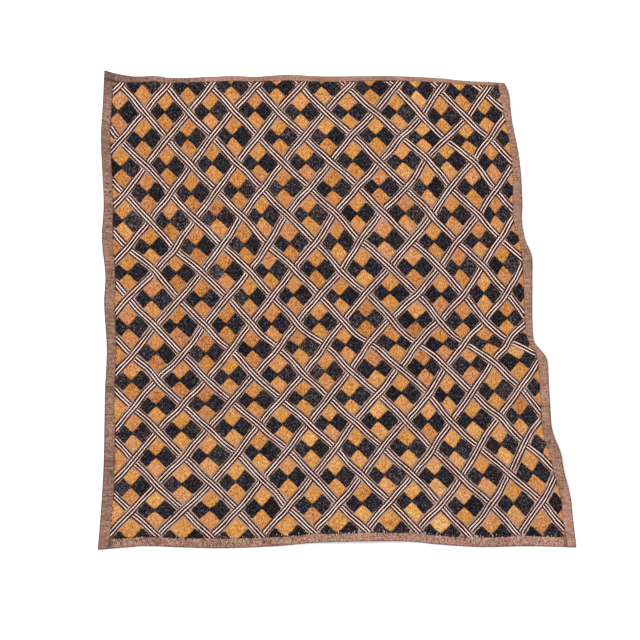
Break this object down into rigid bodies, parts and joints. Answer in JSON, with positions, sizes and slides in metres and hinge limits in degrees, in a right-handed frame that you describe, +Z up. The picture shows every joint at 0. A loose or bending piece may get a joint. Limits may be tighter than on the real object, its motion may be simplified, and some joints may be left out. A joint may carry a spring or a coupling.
{
  "type": "embroidered raffia cloth panel",
  "caption": "Flat, slightly trapezoid raffia panel with turned hems, embroidered all over with interlaced diagonal bands and cut-pile lozenges, for laying or hanging as decorative cloth",
  "frame": {"origin": "under the middle of the panel's box, on the surface that it lies on", "axes": "+Z up out of the embroidered face, +Y towards the narrow top edge, +X towards the uneven right edge"},
  "size_m": [0.598, 0.5985, 0.0096],
  "materials": {
    "raffia": "matte plain-woven raffia with stem-stitched lines and short cut pile in ochre and black"
  },
  "bodies": {
    "root": {"raffia_panel": "raffia"}
  },
  "joints": []
}
